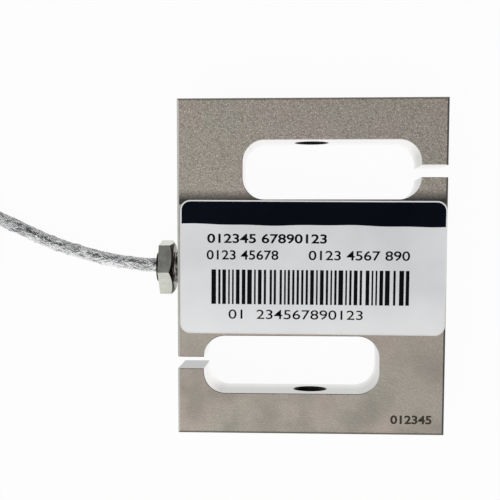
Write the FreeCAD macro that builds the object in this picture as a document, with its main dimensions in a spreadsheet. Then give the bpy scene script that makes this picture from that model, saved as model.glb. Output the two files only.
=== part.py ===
import FreeCAD, Part
import math
import os
import re

import Sketcher
from FreeCAD import Placement, Rotation, Vector

# S-beam weighing load cell, in millimetres. It lies on its back face with the label up:
# +Z points out of the label side, +Y along the load axis and +X away from the cable.
# The origin is the centre of the back face, on the surface that the cell lies on.

doc = FreeCAD.newDocument("LoadCell")

SIZES = {
    # The steel block
    "block_width": 50.8,
    "block_height": 63.5,
    "block_depth": 12.7,
    "edge_bevel": 0.4,
    # Two slots, each the other turned half round about Z; the upper one opens to +X
    "end_arm": 7.8,
    "slot_height": 11.05,
    "column_width": 12.4,
    "slot_wall": 5.0,
    "slot_corner": 4.1,
    "slit_width": 2.25,
    "slit_offset": 0.3,
    "slot_edge_break": 0.1,
    # Tapped hole through each end arm, 1/4-28 UNF, at the thread's major diameter
    "thread_diameter": 6.35,
    "countersink": 0.15,
    # Sealed cavity in the web, with a thin flexure left beside each slot
    "flexure": 2.3,
    "cavity_end_wall": 6.8,
    "cavity_corner": 4.5,
    # Cover plates in shallow recesses around the cavity, front and back
    "plate_thickness": 0.6,
    "plate_ledge": 1.2,
    "plate_corner": 3.0,
    "plate_clearance": 0.06,
    # Label on the front
    "label_left_gap": 0.55,
    "label_right_gap": 0.1,
    "label_top_gap": 0.19,
    "label_bottom_gap": 0.36,
    "label_tilt": -0.3,
    "label_thickness": 0.12,
    "label_corner": 1.9,
    # Strain gauges on the flexures
    "gauge_length": 7.0,
    "gauge_width": 4.0,
    "gauge_thickness": 0.12,
    "gauge_end_gap": 1.1,
    "gauge_wire": 0.3,
    "gauge_wire_pitch": 1.8,
    "gauge_wire_reach": 1.6,
    # Terminal board on the back plate, and its two resistors
    "board_length": 15.0,
    "board_width": 9.0,
    "board_thickness": 0.8,
    "resistor_length": 3.2,
    "resistor_width": 1.6,
    "resistor_height": 0.6,
    "resistor_spacing": 3.4,
    "pad_pitch": 2.0,
    "pad_inset": 0.9,
    # Cable port in the left face and the screw gland in it
    "port_diameter": 6.0,
    "passage_length": 2.0,
    "passage_diameter": 3.4,
    "screw_play": 0.05,
    "head_flats": 9.6,
    "head_thickness": 2.8,
    "head_face": 8.8,
    "head_turn": 50.0,
    "collar_diameter": 5.6,
    "collar_length": 0.65,
    "neck": 1.15,
    "bush_length": 1.6,
    "bush_play": 0.08,
    "washer_thickness": 0.4,
    "washer_play": 0.2,
    "bore_play": 0.15,
    # Cable and its four cores
    "cable_diameter": 2.8,
    "straight_exit": 3.8,
    "jacket_overrun": 1.0,
    "core_diameter": 0.8,
    "core_pitch": 1.0,
    "core_rise": 1.6,
    # Put-away coil: turns side by side and one above the other
    "coil_centre_x": -94.2,
    "coil_centre_y": -6.1,
    "coil_diameter": 37.8,
    "coil_columns": 6.0,
    "coil_layers": 4.0,
    "tie_width": 4.0,
    "tie_thickness": 0.4,
    "tie_angle": 300.0,
    "tie_twist_length": 9.0,
    "tie_twist_diameter": 1.4,
    "tie_twist_sink": 0.3,
    # Stripped far end
    "sleeve_length": 7.5,
    "sleeve_overhang": 2.0,
    "sleeve_wall": 0.4,
    "lead_diameter": 0.9,
    "drain_diameter": 0.5,
    "lead_pitch": 1.05,
    "lead_straight": 4.0,
    "lead_drop_reach": 11.0,
    "drain_reach": 20.5,
}

# Sizes that follow from the ones above
DERIVED = {
    "half_width": "block_width / 2",
    "half_height": "block_height / 2",
    "half_depth": "block_depth / 2",
    "slot_outer": "half_height - end_arm",
    "slot_inner": "slot_outer - slot_height",
    "slot_closed_end": "column_width - half_width",
    "slot_open_end": "half_width - slot_wall",
    "slot_radius": "min(slot_corner; 0.49 * slot_height)",
    "slit_centre": "(slot_outer + slot_inner) / 2 - slit_offset",
    "slit_bottom": "slit_centre - slit_width / 2",
    "slit_top": "slit_centre + slit_width / 2",
    "cavity_half_length": "half_width - cavity_end_wall",
    "cavity_half_height": "slot_inner - flexure",
    "cavity_radius": "min(cavity_corner; 0.9 * cavity_half_height)",
    "recess_half_length": "cavity_half_length + plate_ledge",
    "recess_half_height": "cavity_half_height + plate_ledge",
    "plate_half_length": "recess_half_length - plate_clearance",
    "plate_half_height": "recess_half_height - plate_clearance",
    "label_left": "label_left_gap - half_width",
    "label_right": "half_width - label_right_gap",
    "label_bottom": "label_bottom_gap - slot_inner",
    "label_top": "slot_inner - label_top_gap",
    "gauge_centre": "cavity_half_length - cavity_radius - gauge_end_gap - gauge_length / 2",
    "board_top": "plate_thickness + board_thickness",
    "port_depth": "cavity_end_wall - passage_length",
    "port_floor": "port_depth - half_width",
    "screw_bore": "cable_diameter + 2 * bore_play",
    "screw_diameter": "port_diameter - 2 * screw_play",
    "screw_depth": "port_depth - bush_length - washer_thickness",
    "head_inner_face": "-half_width - neck",
    "head_outer_face": "head_inner_face - head_thickness",
    "collar_face": "head_outer_face - collar_length",
    "cable_radius": "cable_diameter / 2",
    "coil_half_band": "coil_columns * cable_radius",
    "coil_outer": "coil_diameter / 2 + coil_half_band",
    "coil_inner": "coil_diameter / 2 - coil_half_band",
    "coil_height": "coil_layers * cable_diameter",
}

sheet = doc.addObject("Spreadsheet::Sheet", "Sizes")
CELLS = {name: str(value) for name, value in SIZES.items()}
CELLS.update({name: "=" + formula for name, formula in DERIVED.items()})
for row, (name, text) in enumerate(CELLS.items(), 1):
    sheet.set(f"A{row}", name)
    sheet.set(f"B{row}", text)
    sheet.setAlias(f"B{row}", name)
doc.recompute()


def size(name):
    """A size's value, read from the sheet."""
    return float(sheet.get(name))


def bind(target, **formulas):
    """Binds properties to formulas of the sheet's sizes; a double underscore stands for a dot."""
    for prop, formula in formulas.items():
        target.setExpression(prop.replace("__", "."), in_sheet(formula))


def in_sheet(formula):
    """The formula with each size written as the sheet's own cell."""
    return re.sub("[a-z_]+", lambda word: "Sizes." * (word[0] in CELLS) + word[0], formula)


# Building blocks for bodies made of sketches

def new_body(label):
    body = doc.addObject("PartDesign::Body", label)
    body.Label = label
    return body


def add_sketch(body, name, role, offset="0"):
    """A sketch on one of the body's origin planes, moved along the plane's normal by offset."""
    plane = next(part for part in body.Origin.OriginFeatures if part.Role == role)
    sketch = body.newObject("Sketcher::SketchObject", name)
    sketch.AttachmentSupport = [(plane, "")]
    sketch.MapMode = "FlatFace"
    bind(sketch, AttachmentOffset__Base__z=offset)
    return sketch


def pin_point(sketch, element, corner, start, across, up):
    """Holds a point, drawn at start, at distances from the sketch's origin that formulas give."""
    for kind, value, formula in (("DistanceX", start.x, across), ("DistanceY", start.y, up)):
        number = sketch.addConstraint(Sketcher.Constraint(kind, -1, 1, element, corner, value))
        sketch.setExpression(f"Constraints[{number}]", in_sheet(formula))


def add_rectangle(sketch, left, bottom, right, top):
    """A rectangle, drawn as a small square and moved to its place by its bound distances."""
    corners = (Vector(-1, -1), Vector(1, -1), Vector(1, 1), Vector(-1, 1))
    first = sketch.GeometryCount
    for number, corner in enumerate(corners):
        sketch.addGeometry(Part.LineSegment(corner, corners[(number + 1) % 4]), False)
    for number in range(4):
        following = first + (number + 1) % 4
        sketch.addConstraint(Sketcher.Constraint("Coincident", first + number, 2, following, 1))
    for number, kind in enumerate(("Horizontal", "Vertical", "Horizontal", "Vertical")):
        sketch.addConstraint(Sketcher.Constraint(kind, first + number))
    pin_point(sketch, first, 1, corners[0], left, bottom)
    pin_point(sketch, first + 2, 1, corners[2], right, top)


def add_circle(sketch, across, up, diameter):
    centre = Vector(1, 1)
    circle = sketch.addGeometry(Part.Circle(centre, Vector(0, 0, 1), 1), False)
    pin_point(sketch, circle, 3, centre, across, up)
    number = sketch.addConstraint(Sketcher.Constraint("Diameter", circle, 2))
    sketch.setExpression(f"Constraints[{number}]", in_sheet(diameter))


def pad(body, sketch, length, name="Pad"):
    feature = body.newObject("PartDesign::Pad", name)
    feature.Profile = sketch
    bind(feature, Length=length)
    doc.recompute()
    return feature


def pocket(body, sketch, name, length=None, reverse=False):
    """A pocket of a given length, or one through the whole body, both ways, if there is none."""
    before = body.Shape.Volume
    feature = body.newObject("PartDesign::Pocket", name)
    feature.Profile = sketch
    if length is None:
        feature.Type = "ThroughAll"
        feature.Midplane = True
    else:
        bind(feature, Length=length)
        feature.Reversed = reverse
    doc.recompute()
    if not body.Shape.Volume < before:
        raise ValueError(f"{name} cuts nothing")
    return feature


def dress(body, kind, name, base, amount, edges):
    """A fillet or chamfer of the body on those edges of its last feature that pass a test."""
    feature = body.newObject("PartDesign::" + kind, name)
    names = [f"Edge{number}" for number, edge in enumerate(base.Shape.Edges, 1) if edges(edge)]
    feature.Base = (base, names)
    bind(feature, **{"Radius" if kind == "Fillet" else "Size": amount})
    doc.recompute()
    return feature


def runs_along(edge, axis):
    """True if an edge is a straight line along X, Y or Z (0, 1 or 2)."""
    if edge.Curve.TypeId != "Part::GeomLine":
        return False
    start, end = (vertex.Point for vertex in edge.Vertexes)
    return abs((end - start)[axis]) > 0.999 * edge.Length


def near(value, target):
    return abs(value - target) < 1e-4


# The steel body

def make_body():
    body = new_body("s_beam_body")
    outline = add_sketch(body, "BlockOutline", "XY_Plane")
    add_rectangle(outline, "-half_width", "-half_height", "half_width", "half_height")
    block = pad(body, outline, "block_depth")
    block = dress(body, "Chamfer", "BlockBevel", block, "edge_bevel",
                  lambda edge: not runs_along(edge, 2))

    slots = add_sketch(body, "SlotOutlines", "XY_Plane", "half_depth")
    add_rectangle(slots, "slot_closed_end", "slot_inner", "slot_open_end", "slot_outer")
    add_rectangle(slots, "-slot_open_end", "-slot_outer", "-slot_closed_end", "-slot_inner")
    block = pocket(body, slots, "Slots")

    def slot_corner(edge):
        if not runs_along(edge, 2):
            return False
        point = edge.Vertexes[0].Point
        inside_end = abs(point.x) < size("half_width") - size("edge_bevel") - 0.01
        return inside_end and abs(point.y) < size("slot_outer") + 0.01

    block = dress(body, "Fillet", "SlotCorners", block, "slot_radius", slot_corner)

    slits = add_sketch(body, "SlitOutlines", "XY_Plane", "half_depth")
    inside = "slot_wall / 2"
    add_rectangle(slits, f"slot_open_end - {inside}", "slit_bottom", "half_width + slot_wall",
                  "slit_top")
    add_rectangle(slits, "-half_width - slot_wall", "-slit_top", f"{inside} - slot_open_end",
                  "-slit_bottom")
    block = pocket(body, slits, "Slits")

    def slot_rim(edge):
        box = edge.BoundBox
        flat = near(box.ZMin, box.ZMax) and (near(box.ZMin, 0) or near(box.ZMin, size("block_depth")))
        edge_limit = size("half_width") - size("edge_bevel") + 0.01
        within = max(abs(box.XMin), abs(box.XMax)) < edge_limit
        middle = abs(box.Center.y)
        between = size("slot_inner") - 0.01 < middle < size("slot_outer") + 0.01
        return flat and within and between and not near(abs(box.Center.x), edge_limit - 0.01)

    block = dress(body, "Chamfer", "SlotEdgeBreak", block, "slot_edge_break", slot_rim)

    cavity = add_sketch(body, "CavityOutline", "XY_Plane", "half_depth")
    add_rectangle(cavity, "-cavity_half_length", "-cavity_half_height", "cavity_half_length",
                  "cavity_half_height")
    block = pocket(body, cavity, "Cavity")

    def cavity_corner(edge):
        point = edge.Vertexes[0].Point
        at_end = near(abs(point.x), size("cavity_half_length"))
        return runs_along(edge, 2) and at_end and near(abs(point.y), size("cavity_half_height"))

    block = dress(body, "Fillet", "CavityCorners", block, "cavity_radius", cavity_corner)

    for side, height, reverse in (("Back", "0", True), ("Front", "block_depth", False)):
        recess = add_sketch(body, side + "RecessOutline", "XY_Plane", height)
        add_rectangle(recess, "-recess_half_length", "-recess_half_height", "recess_half_length",
                      "recess_half_height")
        block = pocket(body, recess, side + "Recess", "plate_thickness", reverse)

    def recess_corner(edge):
        point = edge.Vertexes[0].Point
        at_end = near(abs(point.x), size("recess_half_length"))
        return runs_along(edge, 2) and at_end and near(abs(point.y), size("recess_half_height"))

    block = dress(body, "Fillet", "RecessCorners", block, "plate_corner", recess_corner)

    # The upper hole's sketch faces -Y, so its pocket is turned round to go down into the arm
    for side, offset, reverse in (("Upper", "-half_height", True), ("Lower", "half_height", False)):
        hole = add_sketch(body, side + "HoleOutline", "XZ_Plane", offset)
        add_circle(hole, "0", "half_depth", "thread_diameter")
        block = pocket(body, hole, side + "Hole", "end_arm", reverse)

    def hole_mouth(edge):
        if edge.Curve.TypeId != "Part::GeomCircle":
            return False
        centre = edge.Curve.Center
        return near(edge.Curve.Radius, size("thread_diameter") / 2) and near(centre.x, 0)

    block = dress(body, "Chamfer", "Countersinks", block, "countersink", hole_mouth)

    port = add_sketch(body, "PortOutline", "YZ_Plane", "-half_width")
    add_circle(port, "0", "half_depth", "port_diameter")
    block = pocket(body, port, "Port", "port_depth", True)
    passage = add_sketch(body, "PassageOutline", "YZ_Plane", "port_floor")
    add_circle(passage, "0", "half_depth", "passage_diameter")
    pocket(body, passage, "Passage", "passage_length + passage_diameter / 2", True)
    return body


# Cover plates and label

def make_sheet(label, edges, height, thickness, corner):
    """A thin rectangular sheet with round corners, its lower face at height."""
    body = new_body(label)
    outline = add_sketch(body, label + "_outline", "XY_Plane", height)
    add_rectangle(outline, *edges)
    blank = pad(body, outline, thickness)
    dress(body, "Fillet", label + "_corners", blank, corner, lambda edge: runs_along(edge, 2))
    return body


def make_covers():
    plate = ("-plate_half_length", "-plate_half_height", "plate_half_length", "plate_half_height")
    corner = "plate_corner - plate_clearance"
    make_sheet("front_cover_plate", plate, "block_depth - plate_thickness", "plate_thickness", corner)
    make_sheet("back_cover_plate", plate, "0", "plate_thickness", corner)
    label = make_sheet("rating_label", ("label_left", "label_bottom", "label_right", "label_top"),
                       "block_depth", "label_thickness", "label_corner")
    label.Placement = Placement(Vector(), Rotation(Vector(0, 0, 1), size("label_tilt")))


# Strain gauges, terminal board and resistors

def make_box(label, length, width, height, west, south, bottom):
    box = doc.addObject("Part::Box", label)
    box.Label = label
    bind(box, Length=length, Width=width, Height=height)
    bind(box, Placement__Base__x=west, Placement__Base__y=south, Placement__Base__z=bottom)
    return box


def make_bridge():
    bottom = "half_depth - gauge_width / 2"
    walls = {"upper": "cavity_half_height - gauge_thickness", "lower": "-cavity_half_height"}
    sides = {"left": "-gauge_centre - gauge_length / 2", "right": "gauge_centre - gauge_length / 2"}
    for wall, south in walls.items():
        for side, west in sides.items():
            make_box(f"gauge_{wall}_{side}", "gauge_length", "gauge_thickness", "gauge_width",
                     west, south, bottom)
    make_box("terminal_board", "board_length", "board_width", "board_thickness",
             "-board_length / 2", "-board_width / 2", "plate_thickness")
    for name, south in (("zero_resistor", "resistor_spacing / 2 - resistor_width / 2"),
                        ("span_resistor", "-resistor_spacing / 2 - resistor_width / 2")):
        make_box(name, "resistor_length", "resistor_width", "resistor_height", "0", south, "board_top")


# Round wires and tubes along straight runs joined by tangent arcs

def arc_radius(before, corner, after):
    """The radius of the arc at a corner: as large as 0.45 of the shorter run allows."""
    turn = (corner - before).getAngle(after - corner)
    shorter = min((corner - before).Length, (after - corner).Length)
    return 0.45 * shorter / math.tan(turn / 2)


def rounded_path(points):
    edges = []
    start = points[0]
    for before, corner, after in zip(points, points[1:], points[2:]):
        incoming = (corner - before).normalize()
        outgoing = (after - corner).normalize()
        radius = arc_radius(before, corner, after)
        turn = incoming.getAngle(outgoing)
        setback = radius * math.tan(turn / 2)
        entry = corner - incoming * setback
        leave = corner + outgoing * setback
        inward = (outgoing - incoming).normalize()
        middle = corner + inward * (radius / math.cos(turn / 2) - radius)
        edges.append(Part.LineSegment(start, entry).toShape())
        edges.append(Part.Arc(entry, middle, leave).toShape())
        start = leave
    edges.append(Part.LineSegment(start, points[-1]).toShape())
    return Part.Wire(edges)


def round_wire(points, diameter):
    path = rounded_path(points)
    section = Part.Circle(points[0], points[1] - points[0], diameter / 2).toShape()
    solid = path.makePipeShell([Part.Wire([section])], True, False)
    expected = math.pi * diameter ** 2 / 4 * path.Length
    if abs(solid.Volume / expected - 1) > 0.002:
        raise ValueError("a wire's volume isn't its section times its length")
    return solid


def add_shape(label, shape):
    feature = doc.addObject("Part::Feature", label)
    feature.Label = label
    feature.Shape = shape
    feature.Placement = Placement()
    return feature


def make_gauge_leads():
    """Two fine wires from each gauge to the pads along the terminal board's long edges."""
    wire = size("gauge_wire")
    face = size("cavity_half_height") - size("gauge_thickness")
    pad_row = size("board_width") / 2 - size("pad_inset")
    lift = size("board_top") + size("core_rise")
    for side, across in (("left", -1), ("right", 1)):
        for wall, up in (("upper", 1), ("lower", -1)):
            wires = []
            for number in (0, 1):
                x = across * (size("gauge_centre") - number * size("gauge_wire_pitch"))
                height = size("half_depth") + (number - 0.5) * size("gauge_wire_pitch")
                pad_x = across * (1.5 - number) * size("pad_pitch")
                pad_y = up * pad_row
                points = [
                    Vector(x, up * face, height),
                    Vector(x, up * (face - size("gauge_wire_reach")), height),
                    Vector(pad_x, pad_y, lift),
                    Vector(pad_x, pad_y, size("board_top")),
                ]
                wires.append(round_wire(points, wire))
            add_shape(f"gauge_leads_{wall}_{side}", Part.Compound(wires))


def make_cores():
    """The four cores from the jacket's end, through the passage, to the board's left edge."""
    jacket_end = size("port_floor") + size("jacket_overrun")
    cavity_edge = -size("cavity_half_length")
    pad_x = size("pad_inset") - size("board_length") / 2
    lift = size("board_top") + size("core_rise")
    half_pitch = size("core_pitch") / 2
    cores = {"red": (1, 1, 1.5), "black": (1, -1, 0.5), "green": (-1, -1, -0.5),
             "white": (-1, 1, -1.5)}
    for colour, (right, up, pad_place) in cores.items():
        y = right * half_pitch
        z = size("half_depth") + up * half_pitch
        pad_y = pad_place * size("pad_pitch")
        points = [
            Vector(jacket_end, y, z),
            Vector(cavity_edge + size("core_rise"), y, z),
            Vector(pad_x - size("core_rise"), pad_y, lift),
            Vector(pad_x, pad_y, lift),
            Vector(pad_x, pad_y, size("board_top")),
        ]
        add_shape("core_" + colour, round_wire(points, size("core_diameter")))


# Screw gland in the left face, along -X

OUT_OF_LEFT_FACE = Rotation(Vector(0, 1, 0), -90)


def make_round(kind, name, start, turn=0, **formulas):
    """A primitive whose own Z runs out of the left face, from the plane x = start."""
    piece = doc.addObject(kind, name)
    spin = Rotation(Vector(0, 0, 1), turn)
    piece.Placement = Placement(Vector(), OUT_OF_LEFT_FACE * spin)
    bind(piece, Placement__Base__x=start, Placement__Base__z="half_depth", **formulas)
    return piece


def combine(kind, label, base, tool):
    """A Part::Fuse, Part::Cut or Part::Common of two pieces."""
    result = doc.addObject(kind, label)
    result.Label = label
    result.Base = base
    result.Tool = tool
    return result


def make_ring(label, start, outer, inner, length):
    blank = make_round("Part::Cylinder", label + "_blank", start, Radius=f"({outer}) / 2",
                       Height=length)
    hole = make_round("Part::Cylinder", label + "_hole", start, Radius=f"({inner}) / 2",
                      Height=length)
    return combine("Part::Cut", label, blank, hole)


def make_gland():
    """A hexagon head with a 30 degree chamfer on its inner face, a low collar and a shank."""
    wide = "head_face / 2 + head_thickness * sqrt(3)"
    hexagon = make_round("Part::Prism", "head_hexagon", "head_inner_face", size("head_turn"),
                         Circumradius="head_flats / sqrt(3)", Height="head_thickness")
    hexagon.Polygon = 6
    inner_cone = make_round("Part::Cone", "head_inner_cone", "head_inner_face",
                            Radius1="head_face / 2", Radius2=wide, Height="head_thickness")
    head = combine("Part::Common", "chamfered_head", hexagon, inner_cone)
    collar = make_round("Part::Cylinder", "head_collar", "head_inner_face",
                        Radius="collar_diameter / 2", Height="head_thickness + collar_length")
    collared_head = combine("Part::Fuse", "collared_head", head, collar)
    shank = make_round("Part::Cylinder", "screw_shank", "screw_depth - half_width",
                       Radius="screw_diameter / 2", Height="screw_depth + neck")
    solid_screw = combine("Part::Fuse", "screw_solid", collared_head, shank)
    bore = make_round("Part::Cylinder", "screw_bore_tool", "screw_depth - half_width",
                      Radius="screw_bore / 2", Height="screw_depth - half_width - collar_face")
    combine("Part::Cut", "gland_screw", solid_screw, bore)
    make_ring("gland_washer", "port_floor - bush_length", "port_diameter - 2 * washer_play",
              "screw_bore", "washer_thickness")
    make_ring("gland_bush", "port_floor", "port_diameter - 2 * bush_play", "cable_diameter",
              "bush_length")


# Cable: the run on the surface, the put-away coil, and the tail that lies round the coil

def make_coil():
    coil = new_body("cable_coil")
    coil.Placement = Placement(Vector(), Rotation())
    bind(coil, Placement__Base__x="coil_centre_x", Placement__Base__y="coil_centre_y",
         Placement__Base__z="tie_thickness")
    section = add_sketch(coil, "CoilSection", "XZ_Plane")
    add_rectangle(section, "coil_inner", "0", "coil_outer", "coil_height")
    turned = coil.newObject("PartDesign::Revolution", "CoilTurned")
    turned.Profile = section
    turned.ReferenceAxis = (section, ["V_Axis"])
    turned.Angle = 360
    doc.recompute()
    dress(coil, "Fillet", "CoilRounding", turned, "0.9 * cable_radius",
          lambda edge: edge.Curve.TypeId == "Part::GeomCircle")
    return coil


def round_coil(angle, radius, height):
    """A point beside the coil, by its angle in degrees, its radius and its height."""
    turn = math.radians(angle)
    centre = Vector(size("coil_centre_x"), size("coil_centre_y"), height)
    return centre + Vector(math.cos(turn), math.sin(turn), 0) * radius


def print_radii(name, points):
    radii = [arc_radius(*three) for three in zip(points, points[1:], points[2:])]
    print(name, "arc radii:", ", ".join(f"{radius:.1f}" for radius in radii))


def make_cable(coil):
    """The cable sinks from the gland to the surface and then follows it to the coil."""
    radius = size("cable_radius")
    middle = size("half_depth")
    diameter = size("cable_diameter")
    wound = coil.Shape
    run = [
        Vector(size("port_floor") + size("jacket_overrun"), 0, middle),
        Vector(size("collar_face") - size("straight_exit"), 0, middle),
        Vector(-50.5, 3.7, radius),
        Vector(-62.2, 9.3, radius),
        Vector(-73.4, 13.9, radius),
        Vector(-79.2, 16.0, radius),
    ]
    print_radii("cable_run", run)
    add_shape("cable_run", round_wire(run, diameter).cut(wound))

    top = size("tie_thickness") + size("coil_height") - radius
    beside = size("coil_outer") + radius
    raised = radius + size("sleeve_wall")
    tail = [
        round_coil(82, size("coil_outer") - 0.6, top),
        round_coil(106, beside + 1.2, top - 0.6),
        round_coil(134, beside + 2.6, 6.6),
        round_coil(162, beside + 3.0, 3.0),
        round_coil(188, beside + 3.2, raised),
        round_coil(210, beside + 3.6, raised),
    ]
    print_radii("cable_tail", tail)
    add_shape("cable_tail", round_wire(tail, diameter).cut(wound))
    return tail[-2], tail[-1]


def make_tie():
    """A flat strip round the coil's section, with its ends twisted together on top."""
    strip = size("tie_thickness")
    band = 2 * size("coil_half_band")
    height = size("coil_height")
    width = size("tie_width")
    middle = size("coil_diameter") / 2
    outside = Part.makeBox(band + 2 * strip, width, height + 2 * strip,
                           Vector(middle - band / 2 - strip, -width / 2, 0))
    twist_radius = size("tie_twist_diameter") / 2
    twist_height = height + 2 * strip + twist_radius - size("tie_twist_sink")
    twist = Part.makeCylinder(twist_radius, size("tie_twist_length"),
                              Vector(middle, 0, twist_height), Vector(0, 1, 0))
    tie = outside.fuse(twist)
    tie.Placement = Placement(Vector(size("coil_centre_x"), size("coil_centre_y"), 0),
                              Rotation(Vector(0, 0, 1), size("tie_angle")))
    return tie


def make_far_end(before, end):
    """The sleeve on the cable's end, and the leads and the drain wire that come out of it."""
    along = (end - before).normalize()
    aside = Vector(-along.y, along.x, 0)
    diameter = size("cable_diameter")
    start = end - along * (size("sleeve_length") - size("sleeve_overhang"))
    outer = Part.makeCylinder(diameter / 2 + size("sleeve_wall"), size("sleeve_length"), start, along)
    inner = Part.makeCylinder(diameter / 2, size("sleeve_length"), start, along)
    add_shape("end_sleeve", outer.cut(inner))

    half_pitch = size("lead_pitch") / 2
    lead_radius = size("lead_diameter") / 2
    straight = along * size("lead_straight")
    drop_reach = along * size("lead_drop_reach")
    # For each lead: its side and height in the bundle, and how far aside and along the lead
    # passes its landing, its bend and its tip
    fan = {
        "red": (1, 1, (3.1, (6.8, 18.0), (9.4, 25.2))),
        "black": (1, -1, (1.1, (2.4, 20.5), (5.2, 28.5))),
        "green": (-1, -1, (-1.0, (-2.2, 19.5), (-0.8, 27.0))),
        "white": (-1, 1, (-3.0, (-6.6, 17.0), (-6.2, 23.5))),
    }
    for colour, (left, up, (landing, bend, tip)) in fan.items():
        first = end + aside * (left * half_pitch) + Vector(0, 0, up * half_pitch)
        on_floor = Vector(end.x, end.y, lead_radius)
        points = [
            first,
            first + straight,
            on_floor + drop_reach + aside * landing,
            on_floor + aside * bend[0] + along * bend[1],
            on_floor + aside * tip[0] + along * tip[1],
        ]
        add_shape("lead_" + colour, round_wire(points, size("lead_diameter")))
    on_floor = Vector(end.x, end.y, size("drain_diameter") / 2)
    points = [
        end,
        end + straight * 1.2,
        on_floor + drop_reach * 1.2 + aside * 0.2,
        on_floor + along * size("drain_reach") - aside * 0.4,
    ]
    add_shape("drain_wire", round_wire(points, size("drain_diameter")))


make_body()
make_covers()
make_bridge()
make_gauge_leads()
make_cores()
make_gland()
wound_coil = make_coil()
add_shape("coil_tie", make_tie().cut(wound_coil.Shape))
make_far_end(*make_cable(wound_coil))
doc.recompute()

WIRES = ["gauge_leads_upper_left", "gauge_leads_upper_right", "gauge_leads_lower_left",
         "gauge_leads_lower_right", "core_red", "core_black", "core_green", "core_white"]
NODES = [
    "s_beam_body", "front_cover_plate", "back_cover_plate", "rating_label",
    "gauge_upper_left", "gauge_upper_right", "gauge_lower_left", "gauge_lower_right",
    "terminal_board", "zero_resistor", "span_resistor", *WIRES,
    "gland_screw", "gland_washer", "gland_bush", "cable_run", "cable_coil", "coil_tie",
    "cable_tail", "end_sleeve", "lead_red", "lead_black", "lead_green", "lead_white",
    "drain_wire",
]

for item in doc.Objects:
    if "Invalid" in item.State or "Error" in item.State:
        raise ValueError(f"{item.Label} failed: {item.State}")
parts = {name: doc.getObjectsByLabel(name)[0] for name in NODES}
for name, part in parts.items():
    if part.Shape.isNull() or not part.Shape.isValid():
        raise ValueError(f"{name} has no valid shape")

os.makedirs("parts", exist_ok=True)
for name, part in parts.items():
    part.Shape.exportStep(f"parts/{name}.step")
    print(f"{name}: {part.Shape.Volume:.2f} mm3, {len(part.Shape.Solids)} solid(s)")
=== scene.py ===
import math
import random

import bmesh
import bpy
from mathutils import Matrix, Vector


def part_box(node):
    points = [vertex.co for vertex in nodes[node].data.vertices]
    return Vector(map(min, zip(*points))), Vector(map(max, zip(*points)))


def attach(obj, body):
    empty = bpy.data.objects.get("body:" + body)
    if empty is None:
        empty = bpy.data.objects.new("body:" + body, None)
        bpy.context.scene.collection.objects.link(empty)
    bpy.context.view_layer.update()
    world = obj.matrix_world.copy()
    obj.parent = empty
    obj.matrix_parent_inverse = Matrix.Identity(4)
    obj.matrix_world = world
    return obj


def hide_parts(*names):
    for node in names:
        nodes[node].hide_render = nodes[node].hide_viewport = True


# S-beam weighing load cell, label up on a pale floor. Sizes are in millimetres and are
# turned into metres where they are used; +Z points out of the label side.

MM = 0.001
# The axis of the tapped holes, the gland and the cable lies this far over the back face
AXIS_HEIGHT = 6.35

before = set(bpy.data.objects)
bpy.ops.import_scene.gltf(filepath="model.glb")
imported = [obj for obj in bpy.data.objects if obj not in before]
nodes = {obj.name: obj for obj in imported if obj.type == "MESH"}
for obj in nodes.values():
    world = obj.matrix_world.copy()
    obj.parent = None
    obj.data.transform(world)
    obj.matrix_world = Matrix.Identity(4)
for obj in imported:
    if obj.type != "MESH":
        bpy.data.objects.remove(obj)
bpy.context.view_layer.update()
bpy.context.scene.view_settings.view_transform = "Standard"


def size_mm(node):
    """A node's lowest and highest corner, in millimetres."""
    low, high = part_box(node)
    return Vector(low) / MM, Vector(high) / MM


def put(name, data):
    """Puts an object with this data in the scene."""
    thing = bpy.data.objects.new(name, data)
    bpy.context.scene.collection.objects.link(thing)
    return thing


# Camera, at the photograph's place over the cell

FRAME_PIXELS = 500
SENSOR = 36.0
CAMERA_PLACE = Vector((-1.854, 5.911, 199.46))
CAMERA_TURN = Vector((-0.0892, 0.0519, 0.0035))
FOCAL_PIXELS = 985.9
# The photograph is cropped above its optical axis, which passes through this row of pixels
AXIS_ROW = 325.0


def make_camera():
    """The scene's camera, which looks down on the cell from 0.2 m."""
    data = bpy.data.cameras.new("camera")
    camera = put("camera", data)
    data.sensor_width = SENSOR
    data.lens = FOCAL_PIXELS * SENSOR / FRAME_PIXELS
    data.shift_y = AXIS_ROW / FRAME_PIXELS - 0.5
    data.clip_start = 0.01
    data.clip_end = 20.0
    turn = Matrix.Rotation(CAMERA_TURN.length, 4, CAMERA_TURN.normalized())
    camera.matrix_world = Matrix.Translation(CAMERA_PLACE * MM) @ turn
    bpy.context.scene.camera = camera


# Shader nodes

def linear(digits):
    """A colour written as sRGB hex digits, in the linear values that shaders take."""
    values = [int(digits[start:start + 2], 16) / 255 for start in (0, 2, 4)]
    return [v / 12.92 if v <= 0.04045 else ((v + 0.055) / 1.055) ** 2.4 for v in values] + [1.0]


def connect(tree, node, inputs):
    """Sets or links a node's inputs, named or in their order. A value is a number, a vector,
    a colour in hex digits, an output, or a node for its first output."""
    pairs = inputs.items() if isinstance(inputs, dict) else enumerate(inputs)
    for key, value in pairs:
        if isinstance(value, bpy.types.Node):
            value = value.outputs[0]
        if isinstance(value, bpy.types.NodeSocket):
            tree.links.new(value, node.inputs[key])
        elif isinstance(value, str):
            node.inputs[key].default_value = linear(value)
        else:
            node.inputs[key].default_value = value


def add(tree, kind, inputs=(), **settings):
    """Adds a shader node with its settings and links."""
    node = tree.nodes.new("ShaderNode" + kind)
    for name, value in settings.items():
        setattr(node, name, value)
    connect(tree, node, inputs)
    return node


def new_material(name):
    """A material with its tree, the shader that reaches the output, and the place on the
    object that patterns are drawn by."""
    material = bpy.data.materials.new(name)
    material.use_nodes = True
    tree = material.node_tree
    where = add(tree, "TexCoord").outputs["Object"]
    return material, tree, tree.nodes["Principled BSDF"], where


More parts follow.
